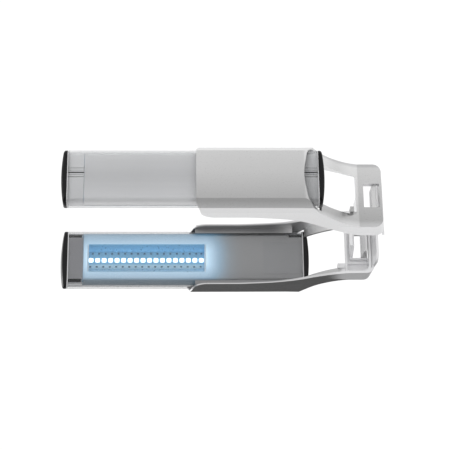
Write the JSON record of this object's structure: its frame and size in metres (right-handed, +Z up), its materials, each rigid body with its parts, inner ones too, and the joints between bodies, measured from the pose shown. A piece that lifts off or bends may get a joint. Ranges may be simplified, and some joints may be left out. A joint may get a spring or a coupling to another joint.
{
  "type": "clip-on led aquarium light",
  "caption": "Slim sealed LED bar that slides through a moulded bracket whose forked arms end in a spring clip for the rim of a small aquarium.",
  "frame": {"origin": "on the inner jaw's face, in the middle, level with the ribs that rest on the top edge of the glass", "axes": "+X out of the tank, from the lamp's free tip to the clip; +Y across the lamp; +Z up"},
  "size_m": [0.2663, 0.056, 0.085],
  "materials": {
    "clear_tube": "clear gloss acrylic",
    "seal_rubber": "matte",
    "cap_black": "semi-gloss",
    "socket_black": "satin",
    "insert_grey": "satin",
    "lamp_silver": "fine satin anodised",
    "pad_pink": "soft pad",
    "board_white": "white solder mask",
    "screw_steel": "machined",
    "led_emitter": "phosphor, lit",
    "reflector": "polished",
    "channel_white": "white",
    "tray_grey": "satin",
    "plate_blank": "smooth",
    "board_green": "solder mask",
    "parts_dark": "mixed",
    "wire_sleeve": "insulated wire",
    "bracket_grey": "satin moulded"
  },
  "bodies": {
    "bracket": {"holder": "bracket_grey"},
    "lamp": {"lens_tube": "clear_tube", "tip_seal": "seal_rubber", "cable_seal": "seal_rubber", "tip_cap": "cap_black", "cable_cap": "cap_black", "dc_socket": "socket_black", "tip_insert": "insert_grey", "cable_insert": "insert_grey", "heat_sink": "lamp_silver", "thermal_pad": "pad_pink", "led_board": "board_white", "board_screws": "screw_steel", "leds": "led_emitter", "board_resistors": "parts_dark", "reflector_front": "reflector", "reflector_rear": "reflector", "channel_end_tip": "channel_white", "channel_end_cable": "channel_white", "bottom_tray": "tray_grey", "blank_plate": "plate_blank", "driver_board": "board_green", "driver_parts": "parts_dark", "lead_wires": "wire_sleeve"},
    "tongue": {"spring_tongue": "bracket_grey"}
  },
  "joints": [
    {"name": "lamp_slide", "type": "slide", "parent": "bracket", "child": "lamp", "axis": [1, 0, 0], "range_m": [-0.07, 0.035]},
    {"name": "tongue_flex", "type": "hinge", "parent": "bracket", "child": "tongue", "pos_m": [0.0114, 0, 0.0031], "axis": [0, -1, 0], "range_deg": [0, 11], "stiffness_Nm_per_rad": 2}
  ]
}
